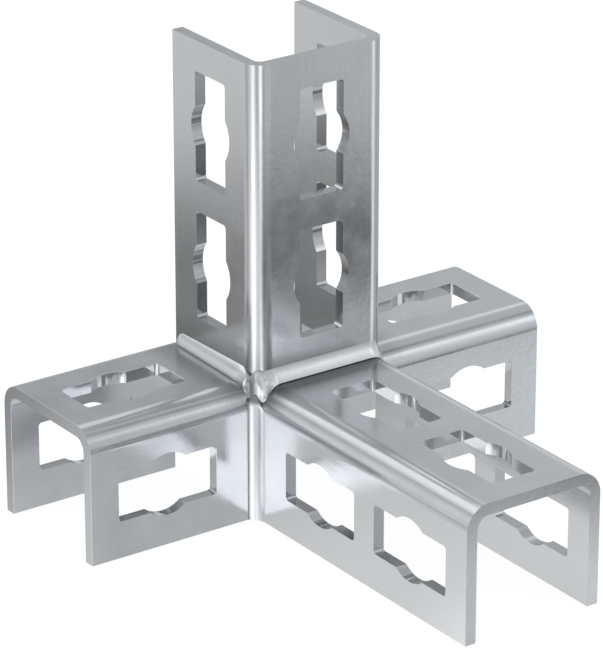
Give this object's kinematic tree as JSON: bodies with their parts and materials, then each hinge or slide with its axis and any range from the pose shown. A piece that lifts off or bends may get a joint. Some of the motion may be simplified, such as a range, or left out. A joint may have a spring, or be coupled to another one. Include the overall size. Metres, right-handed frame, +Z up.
{
  "type": "strut angle fitting",
  "caption": "Welded corner connector of zinc-plated folded sheet: level U-channel arms in a T with an upright channel on their crossing, slotted on every wall, for joining strut channels.",
  "frame": {"origin": "work point: the crossing of the centre lines of the struts in the level arms", "axes": "+X along the front arm, +Y along the right arm, +Z up along the upright"},
  "size_m": [0.1645, 0.1788, 0.1552],
  "materials": {
    "zinc_sheet": "bright zinc plating, satin",
    "zinc_weld": "zinc-plated weld, smooth"
  },
  "bodies": {
    "root": {"front_arm": "zinc_sheet", "left_arm": "zinc_sheet", "right_arm": "zinc_sheet", "upright": "zinc_sheet", "foot_weld": "zinc_weld", "left_corner_weld": "zinc_weld", "right_corner_weld": "zinc_weld"}
  },
  "joints": []
}
